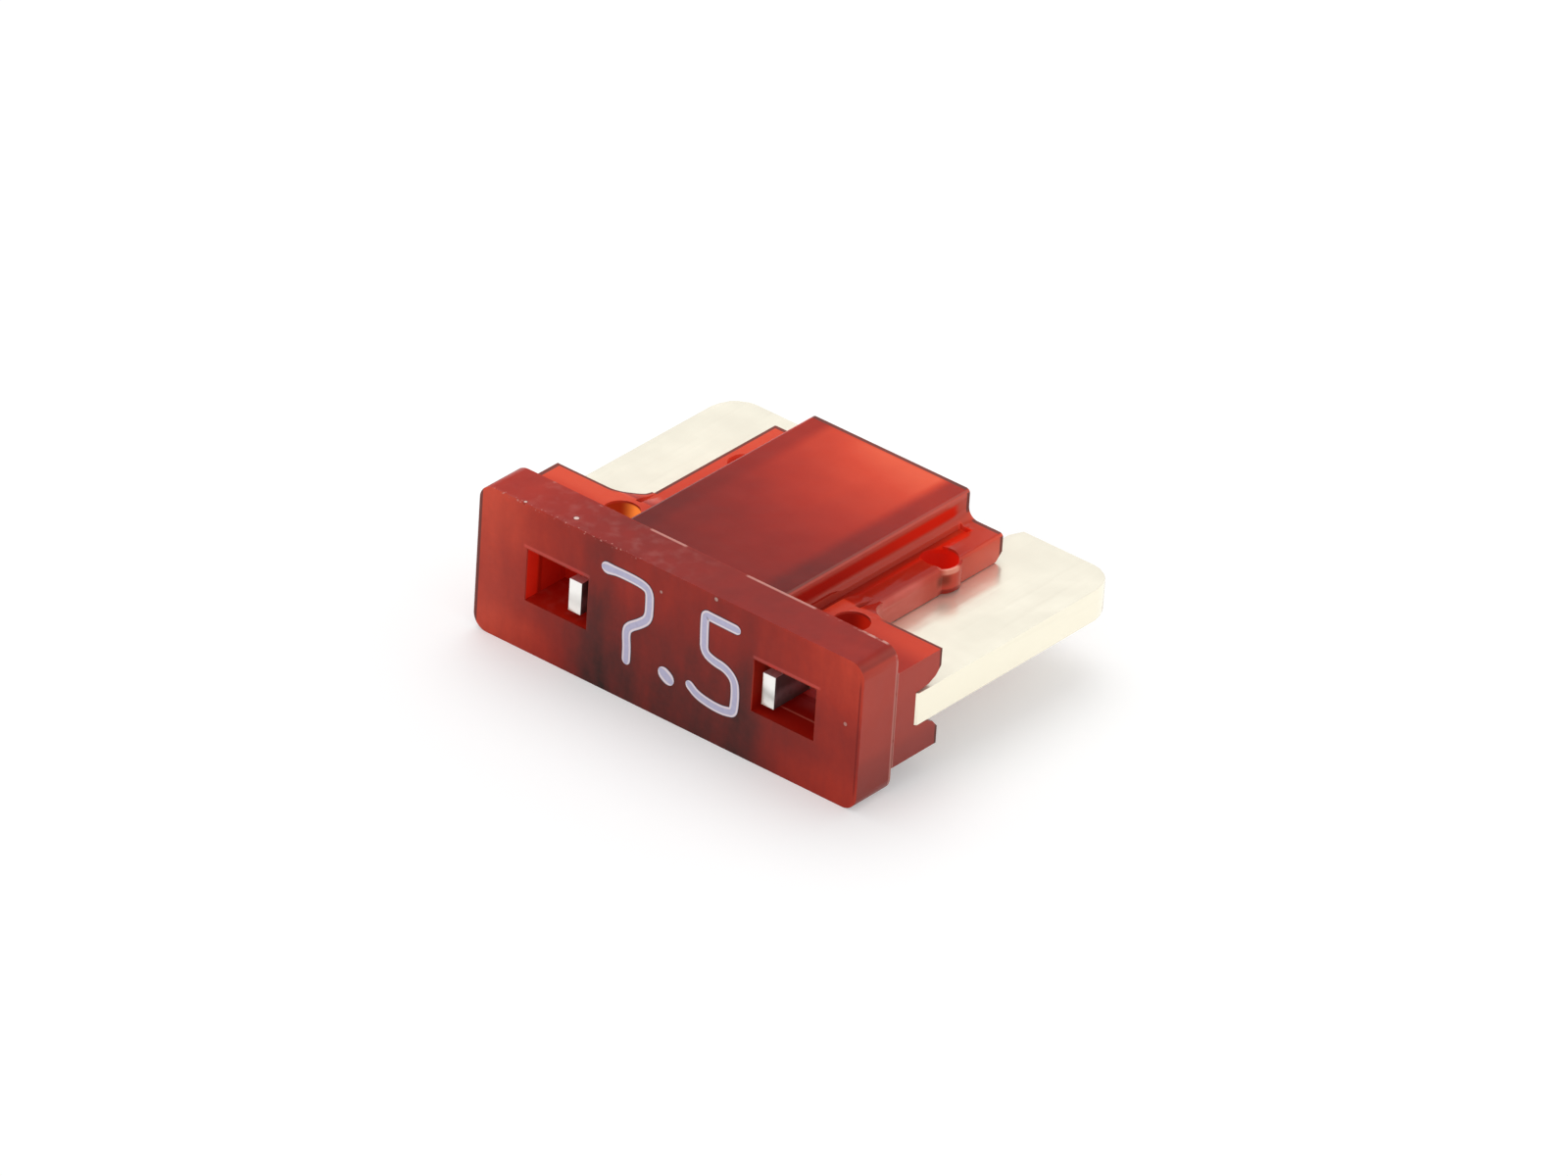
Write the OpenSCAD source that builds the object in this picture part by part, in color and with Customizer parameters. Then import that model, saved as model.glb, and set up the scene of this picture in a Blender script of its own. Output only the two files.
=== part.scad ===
// Low-profile blade fuse, lying on its broad side.
// All sizes are in millimetres. X runs along the head, Y from the marked face to the
// blade tips, Z is up. The origin is in the middle of the outline, on the ground.
//
// The fuse is two pieces: a one-piece moulded housing, and one stamped metal strip
// that forms both blades, the link that melts, and the two test tabs.

/* [Overall] */
// Width over the outer edges of the blades
overall_w = 10.92; // [10.8:0.02:11.3]
// Length from the marked face to the blade tips
overall_l = 8.73; // [8.4:0.01:9.3]

/* [Head] */
// Thickness of the head, the thickest part of the fuse
head_t = 3.64; // [3.6:0.02:3.9]
// How far each end of the head stays inside the blades' outer edges
head_inset = 0.07; // [0.05:0.01:0.25]
// Depth of the head behind the marked face
head_d = 1.14; // [0.95:0.01:1.25]
// Radius of the head's four corners
head_corner_r = 0.38; // [0.15:0.01:0.55]

/* [Test windows] */
// Distance from a blade's inner edge out to the middle of its window
window_out = 0.53; // [0.48:0.01:0.6]
// Width of a window
window_w = 1.75; // [1.6:0.01:1.8]
// Height of a window
window_h = 1.29; // [1.05:0.01:1.45]
// Depth of a window
window_d = 1.35; // [1.0:0.01:1.4]
// Sideways error of both windows, as on the fuse in the picture
window_shift = 0.07; // [0:0.01:0.08]
// Height of the windows' middle above the middle of the fuse
window_lift = 0.08; // [0:0.01:0.1]

/* [Shoulder] */
// How far each end of the shoulder stays inside the blades' outer edges
shoulder_inset = 0.05; // [0:0.01:0.05]
// Thickness of the shoulder that rests on the holder's rim
shoulder_t = 2.37; // [2.2:0.01:2.6]
// Distance from the marked face to the back of the shoulder
shoulder_y = 2.62; // [2.5:0.01:2.9]
// Height of the rounded mouth in each lip, beside the blade
lip_mouth_h = 0.34; // [0.1:0.01:0.36]
// Depth of that mouth
lip_mouth_d = 0.70; // [0.3:0.01:0.72]

/* [Body] */
// Free width between the raised body and a blade's inner edge
body_gap = 0.43; // [0.36:0.01:0.5]
// Thickness of the body
body_t = 3.52; // [3.3:0.01:3.58]
// Distance from the marked face to the open end of the body
body_y = 7.40; // [7.2:0.01:7.6]
// Radius of the body's long edges
body_edge_r = 0.11; // [0.05:0.01:0.2]
// Radius where the body's side runs into the flange
foot_r = 0.27; // [0.2:0.01:0.3]
// Wall above and below the cavity at the open end
wall_end = 0.42; // [0.3:0.01:0.6]
// Wall above and below the cavity at its deep end
wall_deep = 0.70; // [0.62:0.01:0.9]
// Wall on either side of the cavity
cavity_wall = 0.51; // [0.4:0.01:0.7]
// Distance from the marked face to the deep end of the cavity
cavity_y = 2.30; // [2.1:0.01:2.6]

/* [Flange] */
// How far the right flange reaches over its blade
flange_reach = 0.55; // [0.5:0.01:0.6]
// How much further the left flange reaches
flange_spread = 0.08; // [0:0.01:0.1]
// Thickness of the flanges
flange_t = 2.12; // [2.0:0.01:2.2]
// Radius of the inner corner between shoulder and flange
corner_r = 0.68; // [0.2:0.01:0.8]
// Length of the slope on which the flange runs up to the shoulder
ramp_l = 0.70; // [0.4:0.01:1.0]
// Radius of the flanges' long outer edges
flange_edge_r = 0.10; // [0.05:0.01:0.2]
// Radius of the right flange's edges before the rear pocket, rolled over by the punch
rolled_edge_r = 0.24; // [0.12:0.01:0.3]
// Height of the funnel at the flanges' open end, above and below the blade
funnel_h = 0.19; // [0.05:0.01:0.25]
// Depth of that funnel
funnel_d = 0.20; // [0.05:0.01:0.3]
// Distance from the body's side to the shallow channel along its foot
channel_x = 0.10; // [0.05:0.01:0.15]
// Width of that channel
channel_w = 0.29; // [0.2:0.01:0.3]
// Depth of that channel
channel_d = 0.08; // [0.03:0.01:0.12]
// Distance from the marked face to the end of that channel
channel_y = 7.00; // [6.6:0.01:7.1]

/* [Staking pockets] */
// Radius of the round pockets pressed in by the staking punch
pocket_r = 0.42; // [0.38:0.01:0.45]
// Plastic left between the bottom of a pocket and the blade
pocket_skin = 0.10; // [0.05:0.01:0.2]
// Sideways error of all four punches, as on the fuse in the picture
punch_shift = 0.11; // [0:0.01:0.12]
// Wall that the punch bulges out where a rear pocket comes near a flange's side
pocket_wall = 0.08; // [0.05:0.01:0.1]
// Rear pocket, distance from a blade's inner edge out to it before that error
rear_pocket_out = 0.07; // [0.04:0.01:0.1]
// Rear pocket, distance from the marked face
rear_pocket_y = 5.68; // [5.5:0.01:5.9]
// Front pocket, distance from a blade's inner edge out to it before that error
front_pocket_out = 0.57; // [0.54:0.01:0.9]
// Front pocket, distance from the marked face
front_pocket_y = 2.08; // [2.05:0.01:2.12]

/* [Metal strip] */
// Thickness of the strip, as the holder's contacts grip it
blade_t = 0.80; // [0.75:0.01:0.85]
// Width of a blade
blade_w = 2.80; // [2.7:0.01:2.84]
// Distance from the marked face to the blades' hidden front edges
seat_y = 1.60; // [1.55:0.01:1.62]
// Length along Y of the rounded outer corner at a blade tip
tip_cut_y = 0.81; // [0.5:0.01:1.1]
// Width along X of the same corner
tip_cut_x = 0.50; // [0.3:0.01:0.6]
// Length of the pressed bevel at the end of a tip
tip_bevel_y = 0.06; // [0.03:0.01:0.2]
// Height of that bevel on each face
tip_bevel_z = 0.08; // [0.05:0.01:0.15]
// Width of a test tab
tab_w = 0.35; // [0.25:0.01:0.45]
// Distance from a blade's inner edge out to the middle of its test tab
tab_out = 0.06; // [0.03:0.01:0.1]
// Distance from the marked face back to the end of a test tab
tab_y = 0.15; // [0.05:0.01:0.4]
// Thickness of the link that melts
link_t = 0.30; // [0.2:0.01:0.5]
// Width of the link's two arms along Y
link_arm = 0.90; // [0.7:0.01:1.0]
// Width of the narrow neck
link_neck = 0.34; // [0.2:0.01:0.4]
// Distance from the marked face to the link's arms
link_y = 3.40; // [3.2:0.01:3.5]

/* [Fits] */
// Free space between the strip and the slot on each side
slot_fit = 0.02; // [0.01:0.01:0.04]

/* [Hidden] */

mid_z = head_t / 2;                       // everything is even about this height
over = 0.5;                               // how far cutters reach past a surface
blade_out = overall_w / 2;                // outer edge of a blade
blade_in = blade_out - blade_w;           // inner edge of a blade
slot_h = blade_t / 2 + slot_fit;          // half height of the slot for the strip
head_w = overall_w - 2 * head_inset;
body_w = 2 * (blade_in - body_gap);
cavity_w = body_w - 2 * cavity_wall;
right_side = blade_in + flange_reach;     // outer side of the right flange
left_side = right_side + flange_spread;   // outer side of the left flange, to the left
pin_r = 0.26;                             // staked plastic that fills the strip's holes
front_pin_r = 0.22;
hole_gap = slot_fit;                      // free space round the staked plastic
cut_y = seat_y + 0.26;                    // where a blade's outer edge starts
facets = 64;

// Turns a drawing of x against height into a bar along Y, from y0 to y1
module along_y(y0, y1) {
    translate([0, y1, 0]) rotate([90, 0, 0]) linear_extrude(y1 - y0) children();
}

// Turns a drawing of y against height into a bar along X, w wide about the middle
module along_x(w) {
    rotate([90, 0, 90]) translate([0, 0, -w / 2]) linear_extrude(w) children();
}

// Turns a drawing of x against y into a plate that is even about the middle height
module plate(t) {
    translate([0, 0, mid_z - t / 2]) linear_extrude(t) children();
}

// Draws its children on the right and on the left
module both_sides() {
    children();
    mirror([1, 0, 0]) children();
}

// Draws its children above and below the middle height
module both_faces() {
    children();
    translate([0, 0, head_t]) mirror([0, 0, 1]) children();
}

// A rectangle with round corners, drawn about its middle
module round_rect(w, h, r) {
    square([w - 2 * r, h], center = true);
    square([w, h - 2 * r], center = true);
    for (sx = [-1, 1], sy = [-1, 1])
        translate([sx * (w / 2 - r), sy * (h / 2 - r)]) circle(r, $fn = facets);
}

// The head, with the marked face at the front
module head() {
    along_y(0, head_d) translate([0, mid_z]) round_rect(head_w, head_t, head_corner_r);
}

// Right half of a plate seen from its end, w wide, with round outer corners
module half_plate(w, h, r) {
    translate([0, -h / 2]) square([w - r, h]);
    translate([0, r - h / 2]) square([w, h - 2 * r]);
    for (sy = [-1, 1]) translate([w - r, sy * (h / 2 - r)]) circle(r, $fn = facets);
}

// The shoulder behind the head
module shoulder() {
    translate([shoulder_inset - blade_out, head_d, mid_z - shoulder_t / 2])
        cube([2 * (blade_out - shoulder_inset), shoulder_y - head_d, shoulder_t]);
}

// End view of body and flanges: a raised body, a round foot, and flanges
module body_section(right_edge_r) {
    translate([0, mid_z]) {
        round_rect(body_w, body_t, body_edge_r);
        half_plate(right_side, flange_t, right_edge_r);
        mirror([1, 0]) half_plate(left_side, flange_t, flange_edge_r);
        for (sx = [-1, 1], sz = [-1, 1])
            scale([sx, sz]) difference() {
                translate([body_w / 2 - 0.1, flange_t / 2 - 0.1])
                    square([foot_r + 0.1, foot_r + 0.1]);
                translate([body_w / 2 + foot_r, flange_t / 2 + foot_r])
                    circle(foot_r, $fn = facets);
            }
    }
}

// The rounded inner corner between shoulder and flange, seen from above
module inner_corner(side) {
    difference() {
        translate([side - 0.1, shoulder_y - 0.1])
            square([corner_r + 0.1, corner_r + 0.1]);
        translate([side + corner_r, shoulder_y + corner_r])
            circle(corner_r, $fn = facets);
    }
}

// Outline of one blade with its test tab, seen from above
module blade_outline() {
    polygon([
        [blade_in, seat_y],
        [blade_out - 0.26, seat_y],
        [blade_out, cut_y],
        [blade_out, overall_l - tip_cut_y],
        [blade_out - 0.10 * tip_cut_x, overall_l - 0.71 * tip_cut_y],
        [blade_out - 0.33 * tip_cut_x, overall_l - 0.40 * tip_cut_y],
        [blade_out - 0.56 * tip_cut_x, overall_l - 0.26 * tip_cut_y],
        [blade_out - tip_cut_x, overall_l - 0.11 * tip_cut_y],
        [blade_out - 1.6 * tip_cut_x, overall_l - 0.04 * tip_cut_y],
        [blade_out - 2.2 * tip_cut_x, overall_l],
        [blade_in + 0.06 * blade_w, overall_l - 0.02 * tip_cut_y],
        [blade_in, overall_l - 0.5 * tip_cut_y]
    ]);
}

// Room for one blade in the housing, seen from above
module blade_room() {
    polygon([
        [blade_in - slot_fit, seat_y],
        [blade_out - 0.26, seat_y],
        [blade_out, cut_y],
        [blade_out + over, cut_y],
        [blade_out + over, body_y + over],
        [blade_in - slot_fit, body_y + over]
    ]);
}

// Mouth in the lips of the shoulder: y against height, measured from the middle
module lip_mouth() {
    y1 = shoulder_y;
    z0 = slot_h;
    polygon([
        [y1 - lip_mouth_d, z0 - 0.1],
        [y1 - lip_mouth_d, z0],
        [y1 - 0.56 * lip_mouth_d, z0 + 0.14 * lip_mouth_h],
        [y1 - 0.24 * lip_mouth_d, z0 + 0.44 * lip_mouth_h],
        [y1, z0 + lip_mouth_h],
        [y1 + over, z0 + lip_mouth_h],
        [y1 + over, z0 - 0.1]
    ]);
}

// Puts a copy of its children at two of the four places that are staked
module at_stakes(out, y) {
    for (side = [-1, 1]) translate([side * (blade_in + out) + punch_shift, y, 0]) children();
}

// A slope on which a flange runs up to the shoulder, upper half, right side
module ramp(side) {
    top = shoulder_t / 2;
    intersection() {
        translate([0, 0, mid_z]) along_x(2 * (side + corner_r)) polygon([
            [shoulder_y - 0.1, 0.2],
            [shoulder_y - 0.1, top],
            [shoulder_y, top],
            [shoulder_y + 0.3 * ramp_l, top - 0.2 * (top - flange_t / 2)],
            [shoulder_y + 0.7 * ramp_l, flange_t / 2 + 0.2 * (top - flange_t / 2)],
            [shoulder_y + ramp_l, flange_t / 2],
            [shoulder_y + ramp_l, 0.2]
        ]);
        union() {
            translate([0, 0, -0.5]) linear_extrude(head_t + 1) inner_corner(side);
            translate([0, 0, -0.5]) cube([side - rolled_edge_r, body_y, head_t + 1]);
        }
    }
}

// One round pocket over the strip, beside the body's wall
module pocket() {
    translate([0, 0, mid_z + blade_t / 2 + pocket_skin])
        cylinder(r = pocket_r, h = head_t, $fn = facets);
}

// Wall round one rear pocket, as high as the flange's rolled edge leaves it
module bulge() {
    translate([0, 0, mid_z]) cylinder(r = pocket_r + pocket_wall,
        h = flange_t / 2 - 0.3 * rolled_edge_r, $fn = facets);
}

// Funnel at the flanges' open end: y against height, measured from the middle
module funnel() {
    polygon([
        [body_y - funnel_d, 0],
        [body_y - funnel_d, slot_h],
        [body_y, slot_h + funnel_h],
        [body_y + over, slot_h + funnel_h],
        [body_y + over, 0]
    ]);
}

// Side view of the cavity: it narrows towards the head
module cavity_side() {
    end_h = body_t / 2 - wall_end;
    deep_h = body_t / 2 - wall_deep;
    translate([0, mid_z]) polygon([
        [cavity_y, -deep_h], [cavity_y, deep_h],
        [body_y, end_h], [body_y + over, end_h],
        [body_y + over, -end_h], [body_y, -end_h]
    ]);
}

// Everything that the mould's cores leave open
module openings() {
    // windows for a test probe
    translate([window_shift, -over, mid_z + window_lift - window_h / 2])
        both_sides() translate([blade_in + window_out - window_w / 2, 0, 0])
            cube([window_w, window_d + over, window_h]);
    // the tabs' way from window to blade
    both_sides() translate([blade_in + tab_out - tab_w / 2 - slot_fit, 0, mid_z - slot_h])
        cube([tab_w + 2 * slot_fit, seat_y + 0.1, 2 * slot_h]);
    // slots for the blades
    both_sides() plate(2 * slot_h) blade_room();
    // slot for the link's arms, open to the end so that the strip can slide in
    translate([-blade_in, link_y - slot_fit, mid_z - slot_h])
        cube([2 * blade_in, body_y - link_y + over, 2 * slot_h]);
    // cavity round the link
    along_x(cavity_w) cavity_side();
    // rounded mouths beside the blades, outside the flanges
    both_faces() both_sides() translate([0, 0, mid_z])
        intersection() {
            along_x(2 * blade_out + 2 * over) lip_mouth();
            translate([left_side + corner_r, 0, 0]) cube([blade_out, overall_l, head_t]);
        }
    // funnels round the blades at the flanges' open end
    both_faces() both_sides() translate([0, 0, mid_z])
        intersection() {
            along_x(2 * blade_out + 2 * over) funnel();
            translate([blade_in - slot_fit, 0, 0]) cube([blade_out, overall_l, head_t]);
        }
    // shallow channel along the foot of the body
    both_faces() both_sides()
        translate([body_w / 2 + channel_x, head_d, mid_z + flange_t / 2 - channel_d])
            cube([channel_w, channel_y - head_d, foot_r + channel_d]);
    // staking pockets, which leave the body's wall whole
    both_faces() difference() {
        union() {
            at_stakes(rear_pocket_out, rear_pocket_y) pocket();
            at_stakes(front_pocket_out, front_pocket_y) pocket();
        }
        translate([-body_w / 2 - 0.03, 0, 0]) cube([body_w + 0.06, body_y, 2 * head_t]);
    }
}

// Plastic that the staking punch has driven through the strip
module stakes() {
    stake_h = 2 * slot_h + 0.1;
    translate([0, 0, mid_z - stake_h / 2]) {
        at_stakes(rear_pocket_out, rear_pocket_y) cylinder(r = pin_r, h = stake_h, $fn = facets);
        at_stakes(front_pocket_out, front_pocket_y)
            cylinder(r = front_pin_r, h = stake_h, $fn = facets);
    }
}

module housing() {
    color([0.62, 0.14, 0.10]) translate([0, -overall_l / 2, 0]) {
        difference() {
            union() {
                head();
                shoulder();
                along_y(head_d - 0.2, rear_pocket_y) body_section(rolled_edge_r);
                along_y(rear_pocket_y, body_y) body_section(flange_edge_r);
                plate(flange_t) inner_corner(right_side);
                plate(flange_t) mirror([1, 0]) inner_corner(left_side);
                both_faces() ramp(right_side);
                both_faces() mirror([1, 0, 0]) ramp(left_side);
                both_faces() at_stakes(rear_pocket_out, rear_pocket_y) bulge();
            }
            openings();
        }
        stakes();
    }
}

// The thin link inside the cavity, seen from above: two arms and a winding neck
module link_outline() {
    arm_in = 0.37 * cavity_w;
    half = 2 * arm_in;
    bend_r = (arm_in + link_neck) / 2;
    both_sides() translate([arm_in, link_y])
        square([blade_in - arm_in + 0.1, link_arm]);
    for (side = [-1, 1])
        translate([side * arm_in / 2, link_y + link_arm / 2])
            difference() {
                circle(bend_r, $fn = facets);
                circle(bend_r - link_neck, $fn = facets);
                translate([-half / 2, side > 0 ? -half - 0.02 : 0.02]) square([half, half]);
            }
}

module fuse_element() {
    color([0.90, 0.88, 0.80]) translate([0, -overall_l / 2, 0]) {
        difference() {
            union() {
                both_sides() intersection() {
                    plate(blade_t) blade_outline();
                    // pressed bevel at the tips
                    along_x(2 * overall_w) translate([0, mid_z]) polygon([
                        [0, -blade_t / 2], [0, blade_t / 2],
                        [overall_l - tip_bevel_y, blade_t / 2],
                        [overall_l, blade_t / 2 - tip_bevel_z],
                        [overall_l, -blade_t / 2 + tip_bevel_z],
                        [overall_l - tip_bevel_y, -blade_t / 2]
                    ]);
                }
                // test tabs
                both_sides() translate([blade_in + tab_out - tab_w / 2, tab_y, mid_z - blade_t / 2])
                    cube([tab_w, seat_y - tab_y + 0.1, blade_t]);
                plate(link_t) link_outline();
            }
            // holes for the staked plastic
            at_stakes(rear_pocket_out, rear_pocket_y)
                cylinder(r = pin_r + hole_gap, h = head_t, $fn = facets);
            at_stakes(front_pocket_out, front_pocket_y)
                cylinder(r = front_pin_r + hole_gap, h = head_t, $fn = facets);
        }
    }
}

housing();
fuse_element();
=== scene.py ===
# %% [markdown]
# A low-profile blade fuse, dressed on its CAD frame
#
# The CAD model gives two pieces that already have the right shape: the moulded housing
# and the stamped metal strip. This lesson softens their edges, gives them their finishes,
# prints the rating on the marked face, and sets up a small white studio round them.

# %% Load the frame
import math

import bpy
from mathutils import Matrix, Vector


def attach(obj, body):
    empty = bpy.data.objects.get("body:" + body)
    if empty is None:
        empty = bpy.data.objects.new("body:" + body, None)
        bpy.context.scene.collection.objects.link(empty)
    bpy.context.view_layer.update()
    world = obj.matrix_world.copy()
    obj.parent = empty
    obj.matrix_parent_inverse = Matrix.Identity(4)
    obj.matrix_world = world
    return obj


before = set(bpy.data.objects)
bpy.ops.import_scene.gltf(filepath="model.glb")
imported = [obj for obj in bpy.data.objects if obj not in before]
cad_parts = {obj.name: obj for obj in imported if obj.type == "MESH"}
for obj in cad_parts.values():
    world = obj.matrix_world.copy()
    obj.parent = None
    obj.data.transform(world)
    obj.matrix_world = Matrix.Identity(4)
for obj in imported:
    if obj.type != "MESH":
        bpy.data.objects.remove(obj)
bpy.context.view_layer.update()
MM = 0.001                            # Blender counts in metres, this lesson in mm
LENGTH = 8.73                         # from the marked face to the blade tips
HALF_L = LENGTH / 2                   # the origin is this far behind the marked face
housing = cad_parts["housing"]
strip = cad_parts["fuse_element"]


# %% [markdown]
# The camera
#
# The picture was taken from well above and to the right with a long lens, so that edges
# which are parallel on the fuse stay nearly parallel in the picture. A lens of 315 mm at
# 0.3 m gives that flat look. The place and tilt were worked out from straight edges.

# %% Camera
LENS = 315.035                                        # in mm, on a sensor 36 mm wide
CAMERA_PLACE = (0.1560185, -0.2007444, 0.1550068)     # in metres
CAMERA_TILT = (58.80324, -3.26721, 39.88898)          # in degrees

camera_data = bpy.data.cameras.new("camera")
camera_data.sensor_width = 36.0
camera_data.lens = LENS
camera_data.clip_start = 0.005
camera = bpy.data.objects.new("camera", camera_data)
camera.location = CAMERA_PLACE
camera.rotation_euler = [math.radians(a) for a in CAMERA_TILT]
bpy.context.scene.collection.objects.link(camera)
bpy.context.scene.camera = camera
print("camera distance in mm:", round(camera.location.length / MM, 1))

# %% [markdown]
# Soft edges
#
# No moulded or stamped edge is perfectly sharp, and it's the thin line of light on an edge
# that makes a shape read as real. The CAD mesh is only triangles, so the flat faces are
# joined first, then a small bevel goes along every edge that turns by more than 30 degrees.

# %% Edge softening
SAME_POINT = 2e-7                     # points closer than this, in metres, are one point
FLAT = math.radians(0.6)              # faces that turn by less than this are one flat face
SHARP = math.radians(30)              # edges that turn by more than this get a bevel


def soften(piece, width_mm):
    """Adds the modifiers that round a CAD piece's sharp edges."""
    weld = piece.modifiers.new("weld", "WELD")
    weld.merge_threshold = SAME_POINT
    flat = piece.modifiers.new("join_flat_faces", "DECIMATE")
    flat.decimate_type = "DISSOLVE"
    flat.angle_limit = FLAT
    bevel = piece.modifiers.new("soft_edges", "BEVEL")
    bevel.width = width_mm * MM
    bevel.segments = 3
    bevel.limit_method = "ANGLE"
    bevel.angle_limit = SHARP
    bevel.use_clamp_overlap = True
    bevel.harden_normals = False
    weighted = piece.modifiers.new("even_shading", "WEIGHTED_NORMAL")
    weighted.keep_sharp = True
    for polygon in piece.data.polygons:
        polygon.use_smooth = True
    print(piece.name, "has edges softened by", width_mm, "mm")


soften(housing, 0.07)
soften(strip, 0.04)

# %% [markdown]
# Shader sums as Python
#
# A Blender material is a graph of nodes. Written one node at a time it's hard to read, so
# a small class wraps a socket, and plus, minus and times on it add the Math nodes. Three
# helpers do most of the work here: rise goes from 0 to 1 between two values, fall goes
# back from 1 to 0, and band is 1 between two values and 0 outside them.

# %% A socket that can be used in sums
class Value:
    """One output of a node. Sums on it add Math nodes to the same material."""

    def __init__(self, paint, socket):
        self.paint = paint
        self.socket = socket

    def math(self, operation, *others):
        return self.paint.add("ShaderNodeMath", {"operation": operation}, [self, *others])

    def math_after(self, other, operation):
        """The same with the other value first, as in 1 - mask."""
        return self.paint.add("ShaderNodeMath", {"operation": operation}, [other, self])

    def __add__(self, other):
        return self.math("ADD", other)

    def __sub__(self, other):
        return self.math("SUBTRACT", other)

    def __mul__(self, other):
        return self.math("MULTIPLY", other)

    def __truediv__(self, other):
        return self.math("DIVIDE", other)

    def __pow__(self, other):
        return self.math("POWER", other)

    def __neg__(self):
        return self.math("MULTIPLY", -1.0)

    __radd__ = __add__
    __rmul__ = __mul__

    def __rsub__(self, other):
        return self.math_after(other, "SUBTRACT")

    def __rtruediv__(self, other):
        return self.math_after(other, "DIVIDE")

    def __rpow__(self, other):
        return self.math_after(other, "POWER")

    def size(self):
        return self.math("ABSOLUTE")

    def least(self, other):
        return self.math("MINIMUM", other)

    def most(self, other):
        return self.math("MAXIMUM", other)

    def toward(self, other, factor):
        """Moves from this value towards another one, all the way where factor is 1."""
        return self + (other - self) * factor

    def rise(self, low, high, first=0.0, last=1.0):
        """Goes smoothly from first to last while this value goes from low to high."""
        return self.paint.add(
            "ShaderNodeMapRange", {"interpolation_type": "SMOOTHSTEP"},
            {"Value": self, "From Min": low, "From Max": high, "To Min": first, "To Max": last})

    def fall(self, low, high):
        """Goes smoothly from 1 to 0 while this value goes from low to high."""
        return self.rise(low, high, 1.0, 0.0)

    def band(self, low, high, soft):
        """1 between low and high, 0 outside, with soft borders."""
        return self.rise(low - soft, low + soft) * self.fall(high - soft, high + soft)

    def parts(self):
        """The three numbers of a vector."""
        first = self.paint.add("ShaderNodeSeparateXYZ", None, [self])
        return [Value(self.paint, socket) for socket in first.socket.node.outputs]


# %% [markdown]
# Nodes from one method
#
# Every node comes from the method add, which takes the node's type, its settings and the
# values or links of its sockets. The other methods are short names for what is needed
# often. Colours are mixed in Mix nodes, because a Math node turns a colour grey.

# %% A material under construction
class Paint:
    """The nodes of a material, or of the world."""

    def __init__(self, owner):
        owner.use_nodes = True
        self.owner = owner
        self.tree = owner.node_tree
        self.tree.nodes.clear()
        self.made = 0

    def add(self, kind, settings=None, inputs=None, out=0):
        """Adds a node. Settings are set first, then its sockets get values or links."""
        node = self.tree.nodes.new(kind)
        self.made += 1
        node.location = (220 * (self.made % 12), -200 * (self.made // 12))
        for key, value in (settings or {}).items():
            if key == "stops":
                self.set_stops(node.color_ramp, value)
            else:
                setattr(node, key, value)
        pairs = enumerate(inputs) if isinstance(inputs, list) else (inputs or {}).items()
        for key, value in pairs:
            if isinstance(value, Value):
                self.tree.links.new(value.socket, node.inputs[key])
            else:
                node.inputs[key].default_value = value
        return Value(self, node.outputs[out]) if node.outputs else None

    @staticmethod
    def set_stops(ramp, stops):
        while len(ramp.elements) < len(stops):
            ramp.elements.new(0.5)
        for element, (place, colour) in zip(ramp.elements, stops):
            element.position = place
            element.color = colour

    def mix(self, factor, below, above, blend="MIX"):
        """A colour over another one, as strong as factor says. Sockets 6 and 7 take colours."""
        return self.add("ShaderNodeMix", {"data_type": "RGBA", "blend_type": blend},
                        {0: factor, 6: below, 7: above}, out=2)

    def cover(self, factor, below, above):
        """A shader over another one, as strong as factor says."""
        return self.add("ShaderNodeMixShader", None, [factor, below, above])

    def place(self):
        """x, y, z in mm in the CAD frame, with y counted from the marked face."""
        x, y, z = self.add("ShaderNodeTexCoord", out="Object").parts()
        return x * (1 / MM), y * (1 / MM) + HALF_L, z * (1 / MM)

    def facing(self, normal="Normal"):
        """The three parts of the surface's outward direction."""
        return self.add("ShaderNodeNewGeometry", out=normal).parts()

    def noise(self, size, detail, seed, stretch=(1, 1, 1)):
        """Cloudy noise from 0 to 1. size is the size of a blot in mm."""
        point = self.add("ShaderNodeTexCoord", out="Object")
        scaled = self.add("ShaderNodeVectorMath", {"operation": "MULTIPLY"},
                          [point, [s / (size * MM) for s in stretch]])
        return self.add("ShaderNodeTexNoise", {"noise_dimensions": "4D"},
                        {"Vector": scaled, "W": seed, "Scale": 1.0, "Detail": detail})

    def bump(self, height, depth_mm):
        """Turns a height from 0 to 1 into a surface that is depth_mm uneven."""
        return self.add("ShaderNodeBump", None,
                        {"Height": height, "Strength": 1.0, "Distance": depth_mm * MM})

    def finish(self, shader, kind="ShaderNodeOutputMaterial"):
        """Sends the last shader to the output."""
        self.add(kind, None, {"Surface": shader})
        print(self.owner.name, "has", self.made, "nodes")
        return self.owner


# %% Small helpers
BLACK = (0, 0, 0, 1)
WHITE = (1, 1, 1, 1)


def srgb(r, g, b):
    """A colour as seen on a screen, 0 to 255, as the linear colour that shaders use."""
    def linear(v):
        v = v / 255
        return v / 12.92 if v <= 0.04045 else ((v + 0.055) / 1.055) ** 2.4
    return (linear(r), linear(g), linear(b), 1.0)


def distance(*gaps):
    """How far apart two places are, from their gaps along the axes."""
    squares = [gap * gap for gap in gaps]
    return sum(squares[1:], squares[0]) ** 0.5


def give(piece, material):
    """Puts one material on all of a piece."""
    piece.data.materials.clear()
    piece.data.materials.append(material)


print("a middle grey on the screen is", round(srgb(128, 128, 128)[0], 3), "in a shader")

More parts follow.
